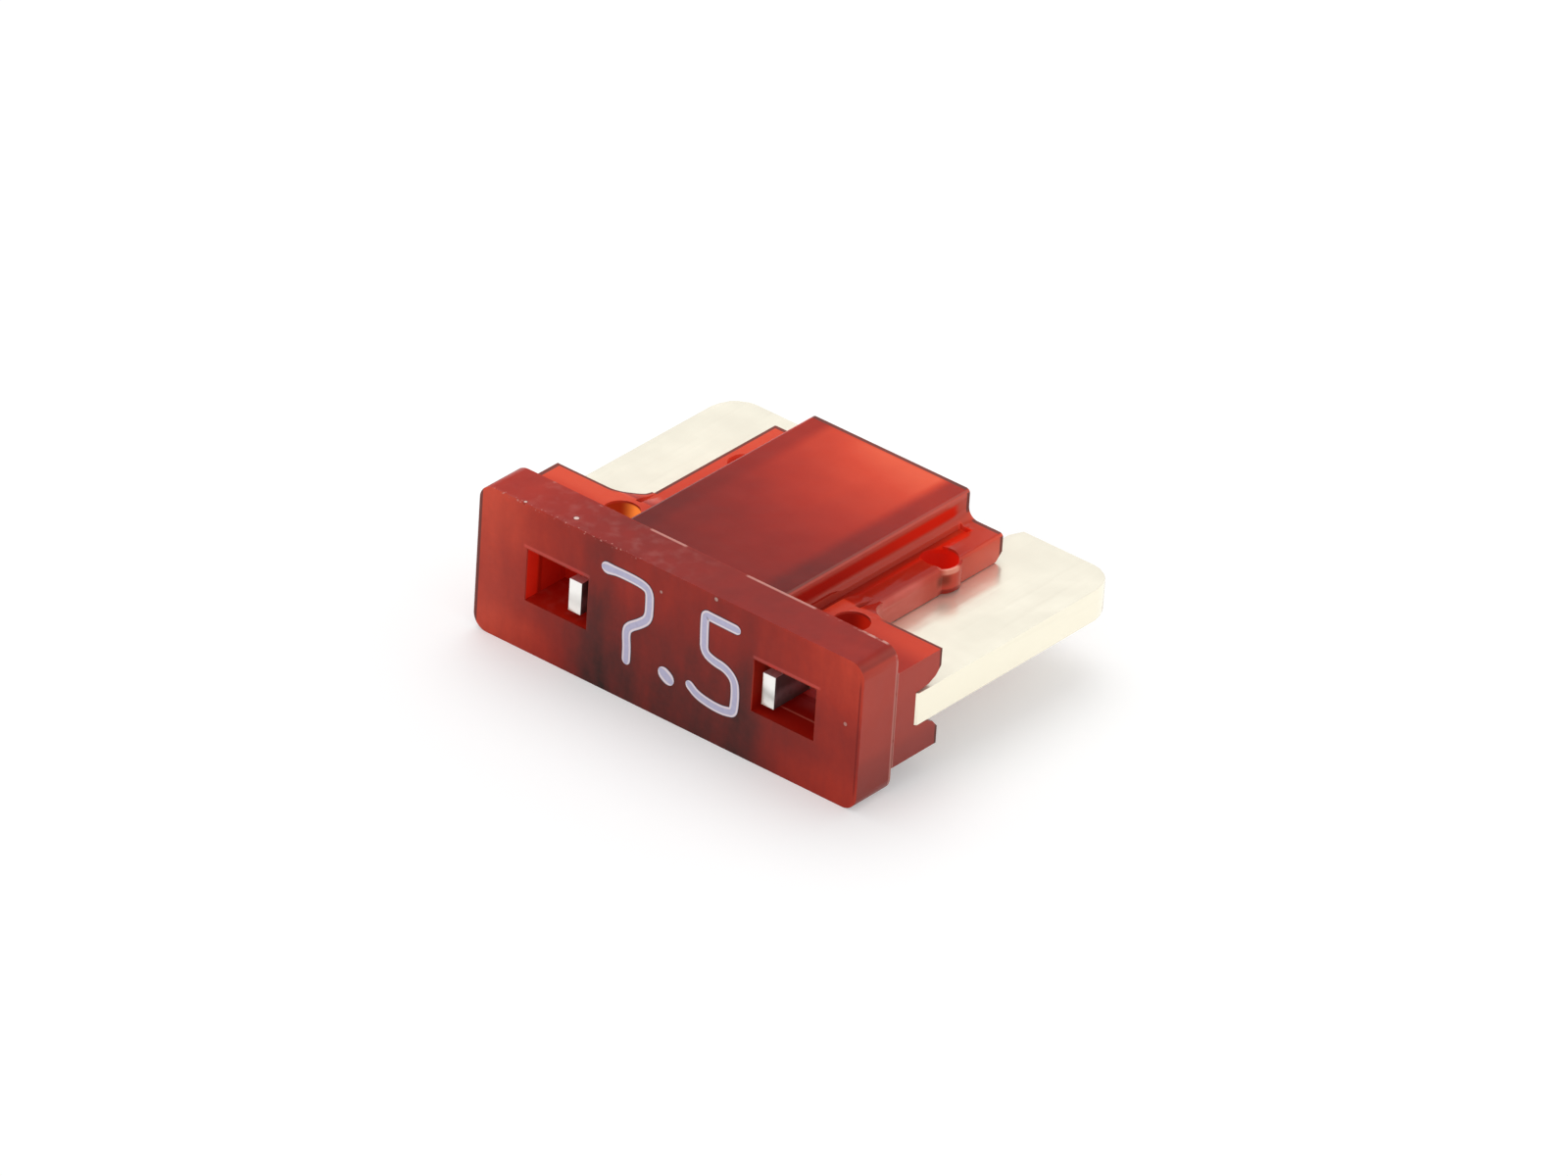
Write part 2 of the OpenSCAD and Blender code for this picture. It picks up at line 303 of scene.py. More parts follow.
# %% [markdown]
# The housing's plastic
#
# The housing is moulded in a clear brown-red plastic that is slightly cloudy. Light goes
# into it and comes out again somewhere else, so a thick or covered place looks nearly
# brown, and a thin place with a white ground behind it glows orange-red. Real refraction
# would need many light bounces and give a grainy picture. A second way, used here, is to
# work out a glow for each place from the wall behind it, and to let the glow choose the
# colour. The shine of the surface comes on top of that.
#
# So all of this paint depends on the place. The numbers below are mm on the CAD model:
# x goes from the middle to the right, y from the marked face to the blade tips, z up.

# %% Places and directions on the housing
HEAD_T = 3.64                         # height of the head
HEAD_D = 1.14                         # depth of the head
BODY_Y = 7.40                         # rear end of the raised body
WINDOW_X = 0.07                       # the windows sit this far right of the middle

plastic = Paint(bpy.data.materials.new("housing_plastic"))
x, y, z = plastic.place()
face_x, face_y, face_z = plastic.facing()
flat_x, flat_y, flat_z = plastic.facing("True Normal")      # facet by facet
wide = x.size()                       # distance from the middle
high = (z - HEAD_T / 2).size()        # distance from half the head's height
cloud = plastic.noise(0.9, 3.0, seed=1.0) - 0.5
streak = plastic.noise(0.35, 3.0, seed=2.0, stretch=(1, 1, 0.25)) - 0.5
print("places and clouds:", plastic.made, "nodes so far")

# %% [markdown]
# The glow of the head
#
# The metal tabs and the body's walls stand behind the marked face and keep light out of
# it, while its two ends are open to the white ground and are the lightest. The head's top
# is darker, because the dark inside of the head lies under it.

# %% Glow of the head
ends = (-x).rise(2.0, 5.3, 0.0, 0.29) + x.rise(2.4, 5.3, 0.0, 0.16)
tabs = (-x).band(1.65, 2.3, 0.3) * 0.09 + x.band(1.85, 2.5, 0.25) * 0.07
upper = (z.rise(1.6, 3.0) * 0.13 + x.rise(1.5, 2.5) * z.rise(2.2, 2.8) * 0.03
         + z.rise(2.7, 3.5) * wide.rise(4.0, 5.2) * 0.07)
lower = (z.fall(0.4, 1.2) * wide.rise(2.2, 3.8) * 0.11
         - z.fall(0.3, 1.7) * wide.fall(2.0, 3.2) * 0.09)
speck = plastic.noise(0.12, 2.0, seed=13.0) - 0.5
marked_face = 0.21 + ends - tabs + upper + lower + cloud * 0.16 + streak * 0.20 + speck * 0.07
head_top = (0.27 + (-x).rise(1.5, 5.2, 0.0, 0.15) + x.rise(2.0, 5.0, 0.0, 0.05)
            + cloud * 0.16 + streak * 0.10)
print("glow of the head:", plastic.made, "nodes so far")

# %% [markdown]
# The glow of the body, the shoulders and the sides
#
# The body is a box that is open at its rear end, so light comes in there and fades
# towards the head, and the solid walls beside the cavity stay dark. The shoulders shine
# along their rear edges. The sides are the skin of the flanges, with a light patch in
# front of the left blade.

# %% Glow behind the head
CAVITY_Y = 1.2                        # where the cavity in the body starts
CAVITY_LONG = 5.4                     # the light in it fades over this length

over_cavity = wide.fall(1.45, 1.85)
along = ((y - CAVITY_Y) / CAVITY_LONG).most(0.0)
inward = (along ** 1.8 * 0.50 + 0.26) * x.rise(-1.9, 0.5, 0.76, 1.0)
inward = inward * y.rise(BODY_Y - 0.20, BODY_Y - 0.02, 1.0, 0.8)
walls = y.rise(1.5, 7.0, 0.16, 0.40)
body_top = walls.toward(inward, over_cavity) + cloud * 0.12

shoulder_top = (0.42 + x.rise(3.2, 4.9, 0.0, 0.08) + (-x).rise(2.2, 3.6, 0.0, 0.20)
                + y.rise(1.5, 2.3, -0.06, 0.14) + cloud * 0.06)

by_left_blade = (-x).rise(2.55, 2.9) * (-x).fall(3.5, 4.0) * y.rise(2.6, 3.0)
side = (0.35 + y.rise(3.0, 7.2, 0.0, 0.10) + z.rise(0.2, 1.8, -0.14, 0.0)
        + face_x.size().rise(0.3, 0.8) * 0.13 + cloud * 0.08
        + y.rise(5.8, 6.8) * x.rise(2.2, 2.4) * 0.12
        - x.rise(2.9, 3.1) * z.fall(1.0, 1.4) * 0.07
        - x.rise(5.3, 5.4) * z.band(1.2, 2.3, 0.4) * 0.05
        + by_left_blade * 0.30)
print("glow behind the head:", plastic.made, "nodes so far")

# %% [markdown]
# From glow to colour
#
# Each glow holds on its own faces, so they are laid over one another from the sides up to
# the marked face. A colour ramp then turns the glow into the plastic's colours, from
# brown-black over deep red to orange-red.

# %% The glow chooses the colour
PLASTIC_RAMP = [(0.00, (0.020, 0.002, 0.002, 1)), (0.10, (0.105, 0.008, 0.007, 1)),
                (0.32, (0.320, 0.014, 0.007, 1)), (0.46, (0.470, 0.024, 0.009, 1)),
                (0.70, (0.730, 0.060, 0.022, 1)), (0.85, (0.880, 0.115, 0.050, 1))]

up = face_z.rise(0.45, 0.75)
on_shoulder = z.band(2.94, 3.10, 0.02) * y.fall(2.64, 2.74) * wide.rise(2.3, 2.5)
on_body = z.rise(3.25, 3.45)
in_head = y.fall(HEAD_D - 0.02, HEAD_D + 0.04)
on_marked_face = (-face_y).rise(0.45, 0.75) * y.fall(0.02, 0.08)
glow = side.toward(shoulder_top, on_shoulder * up)
glow = glow.toward(body_top, on_body * up)
glow = glow.toward(head_top, in_head * up)
glow = glow.toward(marked_face, on_marked_face)
colour = plastic.add("ShaderNodeValToRGB", {"stops": PLASTIC_RAMP}, {"Fac": glow})
print("colour from the glow:", plastic.made, "nodes so far")

# %% [markdown]
# Inside the windows
#
# A probe touches the fuse's metal through two small windows. Their walls are lit only by
# light that has come through the plastic, so they are a clearer red: lightest on the left
# wall near the mouth, and darker on the step and the floor. The right window looks into
# the darker side of the head, with a pale line along its floor.

# %% Red of the windows
beside = (x - WINDOW_X).size()        # distance from half-way between the windows
window = y.band(0.04, 1.5, 0.02) * beside.band(2.2, 4.2, 0.05) * z.band(1.2, 2.6, 0.05)
right = x.rise(-1, 1)                 # 1 in the right window, 0 in the left one
left_wall = face_x.rise(0.4, 0.8)
ground = face_z.rise(0.4, 0.8)
mouth = left_wall * y.fall(0.36, 0.44)
step = left_wall * y.band(0.44, 0.54, 0.03)
strength = ((0.64 + mouth * 0.30 - step * 0.2 - ground * 0.22)
            * (1.0 - right * 0.20) * (1.0 - right * left_wall * 0.6))
red = plastic.mix(strength, BLACK, (1.0, 0.030, 0.012, 1))
window_haze = x.rise(2.5, 3.2) * y.rise(0.75, 1.25) * 0.16
red = plastic.mix(window_haze, red, (0.9, 0.6, 0.65, 1), blend="ADD")
line = ground * x.band(2.75, 3.9, 0.1) * y.band(0.57, 0.63, 0.015)
red = plastic.mix(line * 0.8, red, srgb(214, 122, 106))
colour = plastic.mix(window, colour, red)
print("windows:", plastic.made, "nodes so far")

# %% [markdown]
# Painted sheen and reflections
#
# Cloudy plastic scatters a little white light just under its skin, and its gloss mirrors the
# white studio; a painted sheen stands for both. It shows most on upright faces, at the body's
# rear end and at the left end of the marked face. The right flange's side gets a painted
# reflection of the bright blade, and the body's upper edge a painted highlight. A sheen is
# light that is added, so these colours are dark and their mix is ADD.

# %% Painted sheen, reflections and bloom
# upright faces get a painted sheen: the white studio mirrored in the gloss, and light scattered
# under the skin
upright = face_z.size().fall(0.75, 0.995) * (1.0 - window)
painted_sheen = upright * (0.35 + face_x.size().rise(0.1, 0.6) * 0.55)
painted_sheen = painted_sheen.most(y.rise(BODY_Y - 0.10, BODY_Y) * 0.8)
painted_sheen = painted_sheen + (-x).rise(3.2, 5.3) * y.fall(0.02, 0.08) * 0.35
colour = plastic.mix(painted_sheen, colour, (0.045, 0.045, 0.038, 1), blend="ADD")

# the right flange's side gets a painted reflection of the bright blade, the body's upper edge a
# painted highlight
reflection_patches = plastic.noise(0.5, 3.0, seed=7.0, stretch=(1, 0.5, 1)).rise(0.3, 0.7, 0.5, 1.0)
pale = x.rise(2.95, 3.1) * y.band(2.75, 4.7, 0.35) * z.band(1.0, 2.84, 0.06) * reflection_patches
edge_highlight = face_x.rise(0.2, 0.6) * high.band(1.59, 1.80, 0.03) * wide.band(2.1, 2.3, 0.02)
colour = plastic.mix(pale.most(edge_highlight * 0.35), colour, (0.16, 0.085, 0.075, 1), blend="ADD")

bloom = (plastic.noise(0.30, 4.0, seed=9.0).rise(0.45, 0.75) * x.band(-4.4, 0.3, 0.8)
         * face_z.rise(0.5, 0.8) * y.fall(1.1, 1.2))
colour = plastic.mix(bloom, colour, (0.035, 0.035, 0.033, 1), blend="ADD")
print("mist and haze:", plastic.made, "nodes so far")

# %% [markdown]
# The bulge
#
# The flange swells out round the rear pocket. Such a round, glossy place mirrors the room:
# a dark patch, a thin red lip under it and a small bright patch above. A mirror image of a
# plain white studio would be empty, so the patches are painted.

# %% Patches on the bulge
bulge = x.rise(2.98, 3.06)
dark = bulge * y.band(5.18, 5.50, 0.10) * z.band(2.45, 2.70, 0.10)
colour = plastic.mix(dark * 0.75, colour, srgb(112, 46, 30))
lip = bulge * y.band(5.25, 5.85, 0.10) * z.band(2.22, 2.33, 0.03)
colour = plastic.mix(lip * 0.8, colour, srgb(140, 16, 8))
bright = bulge * y.band(5.36, 5.75, 0.08) * z.band(2.70, 2.88, 0.03)
colour = plastic.mix(bright * 0.8, colour, srgb(252, 170, 148))
print("bulge:", plastic.made, "nodes so far")

# %% [markdown]
# Rims on the marked face
#
# The moulding has a rim over each window, too low to be worth a solid of its own. A painted
# highlight lies along it, with a brighter red painted reflection in it over each tab. The
# head's right border is a thin dark line of painted shade, where the edge turns away.

# %% Rims, sparks and the dark border
on_face = y.fall(0.01, 0.03)
rim = z.band(2.565, 2.635, 0.015) * beside.band(2.30, 4.15, 0.04) * on_face
colour = plastic.mix(rim, colour, (0.17, 0.045, 0.040, 1), blend="ADD")
spark = (x.band(-2.85, -2.40, 0.08).most(x.band(2.78, 3.05, 0.06))
         * z.band(2.53, 2.62, 0.03) * y.fall(0.01, 0.05))
colour = plastic.mix(spark * 0.7, colour, (0.64, 0.045, 0.035, 1))
border_line = x.band(5.285, 5.33, 0.012) * z.band(0.4, 3.2, 0.2) * on_face
colour = plastic.mix(border_line * 0.55, colour, (0.16, 0.006, 0.005, 1))
print("marked face:", plastic.made, "nodes so far")

# %% [markdown]
# Wear and dust
#
# Handling has worn the head's sharp edges to thin pale lines. They are broken, so noise
# cuts each line into pieces. A few grains of dust lie on the plastic, each with a faint
# dark ring, because a grain keeps light from the plastic round it.

# %% Worn edges
top_edge = z.rise(HEAD_T - 0.08, HEAD_T - 0.03)
broken = plastic.noise(0.35, 3.0, seed=5.0)
back_edge = (y.band(1.07, 1.16, 0.012) * top_edge
             * (x.band(-1.5, -0.5, 0.05).most(x.band(1.2, 3.1, 0.05)) * 0.75
                + x.band(4.1, 5.1, 0.05) * broken.rise(0.42, 0.52) * 0.9
                + broken.rise(0.60, 0.66) * 0.4))
end_edge = y.band(1.075, 1.16, 0.01) * x.rise(5.32, 5.36) * broken.rise(0.30, 0.45)
front_edge = (y.band(-0.02, 0.06, 0.012) * top_edge * x.band(-5.0, -0.8, 0.1)
              * plastic.noise(0.07, 2.0, seed=11.0).rise(0.60, 0.66))
worn = back_edge.most(end_edge * 0.65).most(front_edge)
colour = plastic.mix(worn.least(0.85), colour, srgb(214, 150, 140))
print("worn edges:", plastic.made, "nodes so far")

# %% Grains of dust
DUST = (((-2.93, 0.31, 3.64), 0.05, 0.9), ((-2.29, 2.34, 3.52), 0.03, 0.7),
        ((1.27, 0.0, 3.55), 0.04, 0.5), ((-0.24, 0.0, 3.08), 0.03, 0.4),
        ((4.96, 0.0, 2.05), 0.04, 0.35), ((-4.15, 0.05, 3.62), 0.035, 0.8))

for (spot_x, spot_y, spot_z), radius, white in DUST:
    gap = distance(x - spot_x, y - spot_y, z - spot_z)
    ring = gap.rise(radius * 1.5, radius * 2.0, 0.4 * white, 0.0)
    colour = plastic.mix(ring, colour, srgb(70, 24, 24))
    grain = gap.rise(radius, radius * 1.3, white, 0.0)
    colour = plastic.mix(grain, colour, srgb(240, 214, 204))
print("dust:", len(DUST), "grains")

# %% [markdown]
# Light inside the pockets
#
# Eight small pockets, four on each broad side, were pressed in with a hot pin to hold the
# strip. In them, and in the windows, red light goes to and fro between the walls, which
# makes their shadows glow. A little light of their own does that. It is stronger on one
# side of a pocket than on the other.

# %% Pocket light
POCKET_R = 0.43
POCKETS = (                           # middle, height of the mouth, light on the left and right
    ((3.34, 2.08), 1.13, (0.08, 0.001, 0.0, 1), (0.30, 0.008, 0.002, 1)),
    ((2.84, 5.68), 1.00, (0.30, 0.003, 0.001, 1), (0.42, 0.004, 0.001, 1)),
    ((-3.12, 2.08), 1.13, (0.14, 0.01, 0.001, 1), (0.85, 0.22, 0.035, 1)),
    ((-2.62, 5.68), 1.00, (0.30, 0.02, 0.01, 1), (0.40, 0.03, 0.01, 1)))

light = plastic.mix(window, BLACK, (0.020, 0.0001, 0.0, 1))
for (pocket_x, pocket_y), mouth_height, left_light, right_light in POCKETS:
    pocket = (distance(x - pocket_x, y - pocket_y).fall(POCKET_R, POCKET_R + 0.03)
              * high.band(0.4, mouth_height, 0.03))
    # the walls inside each pocket are painted a darker red: painted shade in the hollow
    colour = plastic.mix(pocket * 0.8, colour, (0.14, 0.004, 0.003, 1))
    across = plastic.mix(x.rise(pocket_x - 0.3, pocket_x + 0.1), left_light, right_light)
    light = plastic.mix(pocket, light, across)
channel_mouth = (wide.band(2.30, 2.66, 0.03) * y.band(6.93, 7.03, 0.02)
                 * high.band(0.95, 1.30, 0.03))
light = plastic.mix(channel_mouth, light, (0.11, 0.004, 0.002, 1))
print("pocket light:", plastic.made, "nodes so far")

# %% [markdown]
# Skin and clear red
#
# The skin is the cloudy, glossy plastic with all the colour so far. In the channels and on
# the body's walls the eye looks at plastic that is lit from inside, and the red there is
# pure: no gloss lies over it. So a second shader without any gloss covers the skin there.

# %% Skin and clear red
skin = plastic.add("ShaderNodeBsdfPrincipled", None, {
    "Base Color": colour,
    "Roughness": y.rise(1.1, 1.3, 0.34, 0.16) + cloud * 0.05,
    "IOR": 1.5, "Specular IOR Level": 0.13,
    "Subsurface Weight": 0.15, "Subsurface Radius": (1.0, 0.25, 0.12),
    "Subsurface Scale": 0.0004,
    "Emission Color": light, "Emission Strength": 1.0,
    "Normal": plastic.bump(plastic.noise(0.8, 2.0, seed=3.0), 0.02)})

pure = plastic.mix(y.rise(2.5, 6.5), (0.50, 0.012, 0.006, 1), (0.90, 0.020, 0.005, 1))
clear = plastic.add("ShaderNodeBsdfPrincipled", None, {
    "Base Color": pure, "Roughness": 1.0, "Specular IOR Level": 0.0})
near_body = wide.band(2.1, 2.3, 0.02)
body_wall = (face_x.size().rise(0.75, 0.95) * high.band(1.28, 1.55, 0.05) * near_body
             * y.fall(6.85, 7.1))
channel_floor = high.band(0.88, 1.08, 0.04)
channel = (wide.band(2.47, 2.66, 0.06) * channel_floor * y.band(1.3, 7.04, 0.04)
           * y.rise(3.0, 6.0, 0.45, 0.8))
channel_end = wide.band(2.47, 2.74, 0.04) * channel_floor * y.band(5.9, 6.85, 0.12)
left_edge = ((-face_x).rise(0.2, 0.5) * high.band(1.60, 1.80, 0.03) * near_body
             * y.band(1.2, 7.3, 0.05))
deep = body_wall.most(channel).most(channel_end * 0.8).most(left_edge * 0.8)
inner = plastic.cover(deep * 0.85, skin, clear)
print("skin and clear red:", plastic.made, "nodes so far")

# %% [markdown]
# Dull outlines
#
# A clear plastic bends light away at edges that turn from the front, and they look
# grey-brown: the rear edges of the head, the shoulders and the body, the head's left end,
# and the edge round the left blade's foot. A plain dull shader covers these lines, except
# where the edge is worn.

# %% Outlines, and the whole material
FOOT = (-3.97, 3.30)                  # the left blade's foot is round this place

shoulder_end = wide.rise(3.6, 4.0)
turned = flat_y.rise(0.12, 0.22) * flat_y.fall(0.90, 0.97)
back = turned * (y.rise(BODY_Y - 0.16, BODY_Y - 0.12)
                 .most(y.band(2.5, 2.7, 0.01) * shoulder_end)
                 .most(y.band(1.0, 1.2, 0.01) * x.fall(-4.9, -4.8)))
border = (flat_z.size().most(flat_x).rise(0.9, 0.95)
          * y.rise(BODY_Y - 0.11, BODY_Y - 0.09).most(y.band(2.55, 2.7, 0.008) * shoulder_end))
bend = distance(x - FOOT[0], y - FOOT[1])
foot = bend.band(0.60, 0.735, 0.01) * x.rise(-3.99, -3.95) * y.fall(3.28, 3.32)
foot = foot.most(x.band(-3.5, -3.15, 0.01) * y.rise(3.28, 3.32))
border = border.most(foot * z.rise(2.5, 2.6) * flat_z.rise(0.3, 0.5))
left_end = (-x).rise(5.295, 5.315) * (-flat_x).fall(0.90, 0.97)
corner = ((-flat_x).rise(0.50, 0.58) * z.rise(3.40, 3.45) * (-x).rise(5.10, 5.15)
          * y.rise(0.05, 0.08))
outline = back.most(border).most(left_end).most(corner) * (1.0 - worn.least(1.0))
dull = plastic.add("ShaderNodeBsdfDiffuse", None, {"Color": srgb(112, 78, 74)})
whole = plastic.cover(outline * 0.85, inner, dull)
give(housing, plastic.finish(whole))

# %% [markdown]
# The strip's metal
#
# The strip is zinc with a thin coat of tin, a soft white metal with a warm cast. Rolling
# has left faint lines along it. A metal takes its look from what it mirrors, so its colour
# is close to white, and the roughness decides how clearly the red housing shows in it.
# It isn't wholly metallic here, because the tin's dull skin also scatters some light. The
# two test tabs end in bright, bare, uneven metal, and their right sides lie in the dark.
# Upright faces mirror the bright floor, so they get a faint painted reflection of it, added as
# light of their own.

# %% Tinned strip
def tinned_strip():
    metal = Paint(bpy.data.materials.new("tinned_strip"))
    x, y, z = metal.place()
    face_x, _, face_z = metal.facing()
    lines = metal.noise(0.22, 3.0, seed=4.0, stretch=(1, 0.06, 1))
    blots = metal.noise(0.9, 2.0, seed=6.0)
    colour = metal.mix(blots, (0.95, 0.895, 0.750, 1), (0.99, 0.945, 0.800, 1))
    colour = metal.mix(lines.rise(0.55, 0.75) * 0.35, colour, (0.86, 0.81, 0.68, 1))

    tab = y.fall(1.3, 1.5)
    colour = metal.mix(tab, colour, (0.93, 0.93, 0.93, 1))
    shade = tab * face_x.rise(0.5, 0.9)
    colour = metal.mix(shade * 0.85, colour, (0.02, 0.012, 0.01, 1))
    # a greyer, uneven band across each tab, stronger on the right one
    tab_grey_band = (z + metal.noise(0.3, 2.0, seed=12.0) * 0.3).band(1.75, 2.0, 0.12) * tab
    colour = metal.mix(tab_grey_band * x.rise(-1, 1, 0.35, 0.8), colour, (0.42, 0.42, 0.44, 1))

    # the upright faces outside the tabs' shade get a painted reflection of the bright floor, as
    # light of their own
    cut = face_z.size().fall(0.3, 0.8) * (1.0 - shade)
    floor_reflection = metal.mix(cut, BLACK, (0.10, 0.09, 0.055, 1))
    shader = metal.add("ShaderNodeBsdfPrincipled", None, {
        "Base Color": colour, "Metallic": 0.64, "Emission Color": floor_reflection, "Emission Strength": 1.0,
        "Roughness": blots.rise(0.2, 0.8, 0.17, 0.25),
        "Normal": metal.bump(lines * 0.4 + blots, 0.012)})
    return metal.finish(shader)


give(strip, tinned_strip())

# %% [markdown]
# The printed rating
#
# The figures are stamped on the marked face with hot foil. The die has rounded ends. A thin
# dark outline of painted shadow goes round each stroke, and a painted highlight makes the foil
# paler along its borders. So each stroke is a narrow ribbon with five lines along it: outline,
# border, middle, border, outline. A layer on the mesh says how far across a place is, and the
# material reads it.

# %% Strokes of the figures
HALF_STROKE = 0.135                   # half the width of a stroke
POINT_RADIUS = 0.20                   # the decimal point is a short, wide stroke
SEVEN_BULB = 1.25                     # the seven's first end is thicker by this factor
SEVEN = [(-1.74, 3.04), (-1.38, 3.07), (-0.78, 3.06), (-0.55, 2.96), (-0.53, 2.62),
         (-0.54, 2.27), (-0.76, 2.06), (-1.08, 1.84), (-1.13, 1.66), (-1.09, 1.33), (-1.09, 1.03)]
FIVE = [(1.86, 3.05), (1.20, 3.06), (1.01, 3.07), (1.00, 2.88), (1.01, 2.52), (1.03, 2.14),
        (1.30, 2.02), (1.64, 1.99), (1.90, 1.80), (1.95, 1.50), (1.94, 1.12), (1.90, 0.99),
        (1.76, 0.95), (1.58, 0.92), (1.28, 0.93), (0.91, 1.0), (0.71, 1.14)]
POINT = [(0.00, 1.11), (0.07, 1.07)]


def round_off(path, times=2):
    """Cuts the corners of a path again and again until it's a smooth line."""
    path = [Vector(p) for p in path]
    for _ in range(times):
        cut = [path[0]]
        for a, b in zip(path, path[1:]):
            cut += [a.lerp(b, 0.25), a.lerp(b, 0.75)]
        path = cut + [path[-1]]
    return path


print("points on a smooth seven:", len(round_off(SEVEN)))

# %% [markdown]
# From strokes to a mesh
#
# A row of five points goes across the path at each of its points. Past both ends the rows
# get narrower along a quarter of a circle, which makes the ends round. Neighbouring rows
# are joined by four faces. The foil stands a hundredth of a millimetre proud.

# %% Rows across a stroke
ACROSS = (-1, -0.8, 0, 0.8, 1)        # outline, border, middle, border, outline
END_TURNS = [math.radians(a) for a in (20, 40, 60, 80)]
BULB_REACH = 0.25                     # a thick end gets thin again over this length


def stroke(path, half, bulb=1.0):
    """Rows of points across a path, with half-round ends, and how far across they are."""
    spots = [(p, 1.0 + (bulb - 1.0) * max(0.0, 1.0 - (p - path[0]).length / BULB_REACH))
             for p in path]
    first = (path[0] - path[1]).normalized()
    last = (path[-1] - path[-2]).normalized()
    before = [(path[0] + first * half * bulb * math.sin(t), bulb * math.cos(t))
              for t in reversed(END_TURNS)]
    after = [(path[-1] + last * half * math.sin(t), math.cos(t)) for t in END_TURNS]
    spots = before + spots + after
    rows = []
    for i, (spot, width) in enumerate(spots):
        along = (spots[min(i + 1, len(spots) - 1)][0] - spots[max(i - 1, 0)][0]).normalized()
        side_step = Vector((-along.y, along.x)) * half * width
        rows.append([(spot + side_step * s, abs(s)) for s in ACROSS])
    return rows


figures = [stroke(round_off(SEVEN), HALF_STROKE, SEVEN_BULB),
           stroke(round_off(FIVE), HALF_STROKE),
           stroke(round_off(POINT), POINT_RADIUS)]
print("rows in the three figures:", [len(rows) for rows in figures])

# %% Mesh of the print
OUTLINE_LIFT = 2e-6                   # in metres, in front of the marked face
FOIL_LIFT = 9e-6
COLUMNS = len(ACROSS)


def print_mesh(name, strokes):
    """A mesh of ribbons on the marked face, with a layer that says how far across it is."""
    points = []
    faces = []
    across = []
    for rows in strokes:
        start = len(points)
        for spot, s in (pair for row in rows for pair in row):
            lift = OUTLINE_LIFT if s > 0.9 else FOIL_LIFT
            points.append((spot.x * MM, -HALF_L * MM - lift, spot.y * MM))
            across.append(s)
        for r in range(len(rows) - 1):
            for c in range(COLUMNS - 1):
                i = start + COLUMNS * r + c
                faces.append((i, i + 1, i + COLUMNS + 1, i + COLUMNS))
    mesh = bpy.data.meshes.new(name)
    mesh.from_pydata(points, [], faces)
    layer = mesh.attributes.new("across", "FLOAT", "POINT")
    for i, s in enumerate(across):
        layer.data[i].value = s
    mesh.update()
    return mesh


rating = bpy.data.objects.new("rating_print", print_mesh("rating_print", figures))
bpy.context.scene.collection.objects.link(rating)
print("rating print:", len(rating.data.polygons), "faces")

# %% [markdown]
# Foil
#
# Hot foil is a thin white coat with a bluish cast that lets a little of the red through.
# The middle of a stroke is worn and greyer, its borders get a paler painted highlight, and a
# dark outline of painted shadow goes round all of it.

# %% Foil
def foil():
    coat = Paint(bpy.data.materials.new("rating_foil"))
    across = coat.add("ShaderNodeAttribute", {"attribute_name": "across"}, out=2)   # a number
    blots = coat.noise(0.10, 3.0, seed=8.0)
    colour = coat.mix(blots, srgb(192, 188, 220), srgb(218, 214, 240))
    # paler borders: a painted highlight
    colour = coat.mix(across.band(0.50, 0.82, 0.1), colour, srgb(255, 240, 246))
    # the dark outline round each stroke: a painted shadow
    colour = coat.mix(across.rise(0.83, 0.90), colour, srgb(70, 28, 32))
    shader = coat.add("ShaderNodeBsdfPrincipled", None, {
        "Base Color": colour, "Roughness": blots.rise(0.2, 0.8, 0.35, 0.6),
        "Specular IOR Level": 0.3})
    return coat.finish(shader)


give(rating, foil())

# %% [markdown]
# The floor
#
# The photograph has a pure white ground with a faint soft shadow. The floor is a pale
# diffuse plane, and the viewer and mirrors also see a little light from it, which lifts it
# to white but keeps the shadow.

# %% White floor
HALF_FLOOR = 1.5                      # in metres


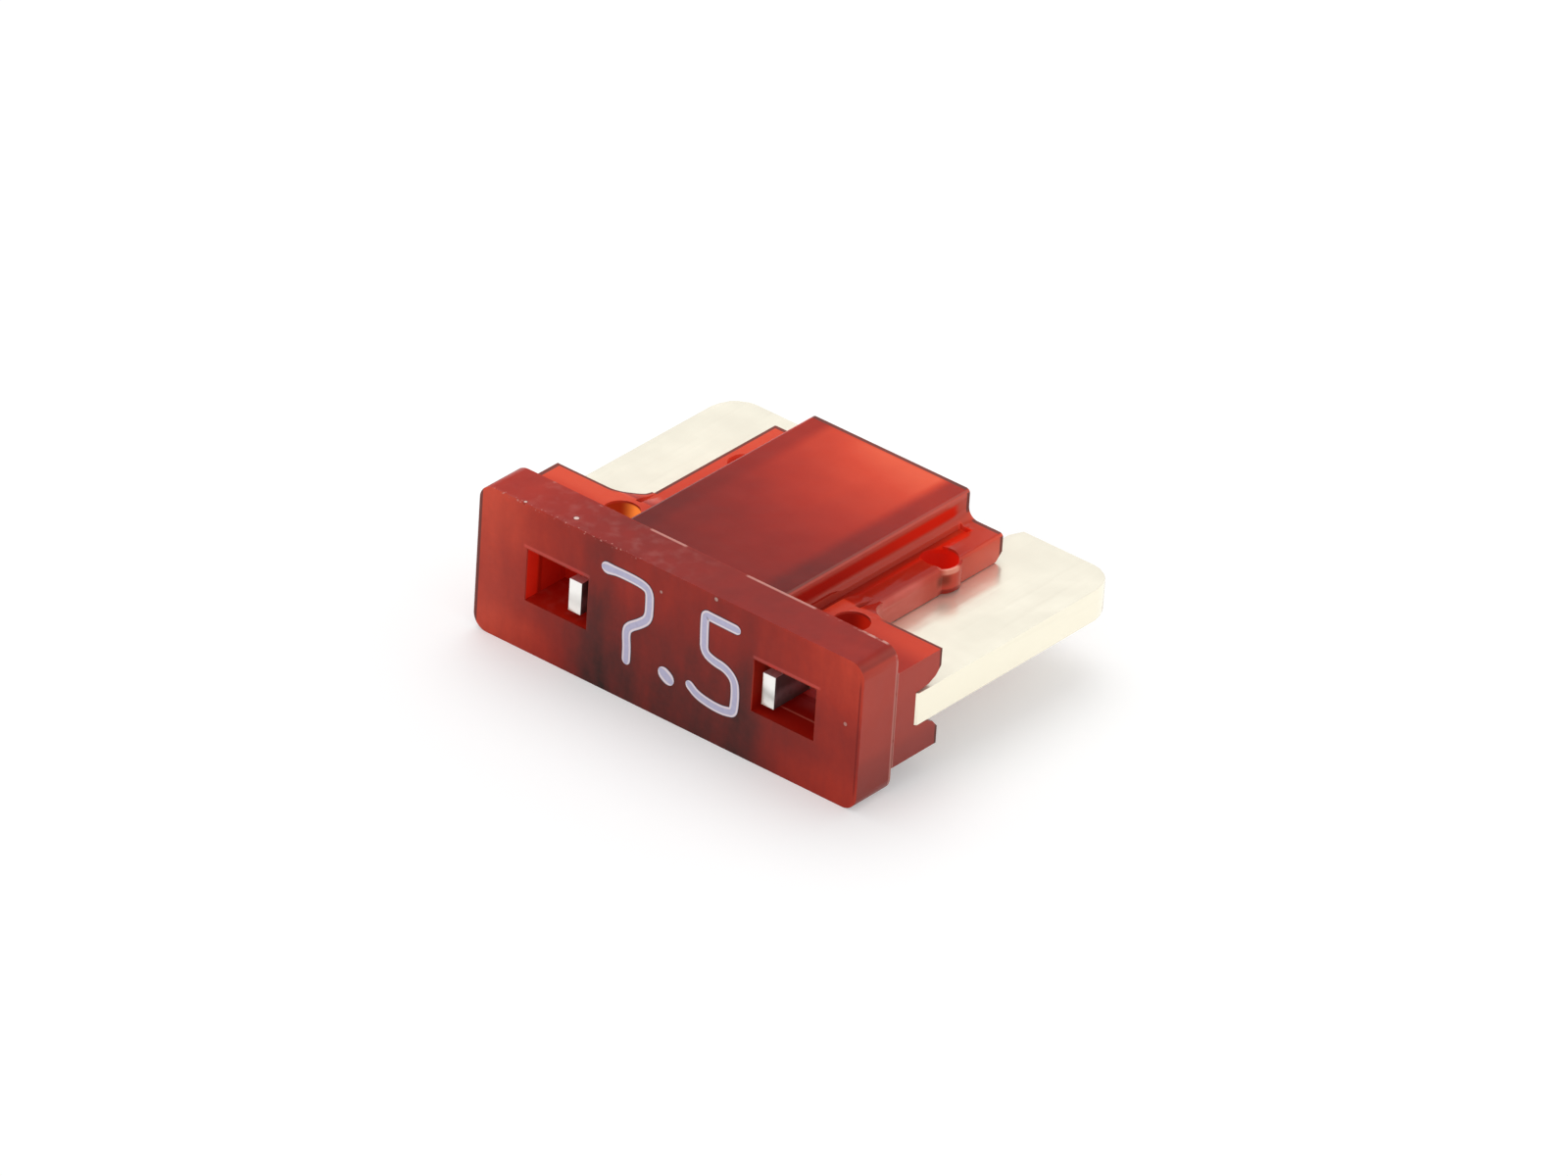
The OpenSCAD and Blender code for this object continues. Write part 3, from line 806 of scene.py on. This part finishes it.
def white_floor():
    ground = Paint(bpy.data.materials.new("white_floor"))
    lit = ground.add("ShaderNodeBsdfDiffuse", None, {"Color": (0.74, 0.74, 0.74, 1)})
    own_light = ground.add("ShaderNodeEmission", None, {"Color": WHITE, "Strength": 0.33})
    both = ground.add("ShaderNodeAddShader", None, [lit, own_light])
    viewer = ground.add("ShaderNodeLightPath", out="Is Camera Ray")
    mirror = ground.add("ShaderNodeLightPath", out="Is Glossy Ray")
    return ground.finish(ground.cover(viewer.most(mirror), lit, both))


s = HALF_FLOOR
floor_mesh = bpy.data.meshes.new("floor")
floor_mesh.from_pydata([(-s, -s, 0), (s, -s, 0), (s, s, 0), (-s, s, 0)], [], [(0, 1, 2, 3)])
floor = bpy.data.objects.new("floor", floor_mesh)
bpy.context.scene.collection.objects.link(floor)
give(floor, white_floor())

# %% [markdown]
# Sky and lamp
#
# The sky is an even white, a little brighter in mirrors, so that the metal looks clean.
# One large soft lamp behind the fuse, high up on the left, makes the shadow fall to the
# front.

# %% Sky and lamp
LAMP_PLACE = (-0.10, 0.10, 0.30)      # in metres
LAMP_SIZE = 0.30
LAMP_POWER = 0.38                     # in watts

world = bpy.data.worlds.new("studio")
bpy.context.scene.world = world
sky = Paint(world)
even = sky.add("ShaderNodeBackground", None, [WHITE, 0.70])
bright_sky = sky.add("ShaderNodeBackground", None, [WHITE, 0.88])
in_mirrors = sky.add("ShaderNodeLightPath", out="Is Glossy Ray")
sky.finish(sky.cover(in_mirrors, even, bright_sky), "ShaderNodeOutputWorld")

lamp = bpy.data.lights.new("top_lamp", "AREA")
lamp.shape = "DISK"
lamp.size = LAMP_SIZE
lamp.energy = LAMP_POWER
holder = bpy.data.objects.new("top_lamp", lamp)
holder.location = LAMP_PLACE
holder.rotation_euler = (-Vector(LAMP_PLACE)).to_track_quat("-Z", "Y").to_euler()
bpy.context.scene.collection.objects.link(holder)
bpy.context.scene.view_settings.view_transform = "Standard"
print("lamp distance in mm:", round(holder.location.length / MM))

# %% [markdown]
# The end
#
# Every piece rides on the fuse's one body. Only the foil may stand out of the CAD box, by
# a hundredth of a millimetre.

# %% Attach the pieces to the body
for piece, slot in ((housing, "housing"), (strip, "strip"), (rating, "rating_print")):
    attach(piece, "root")
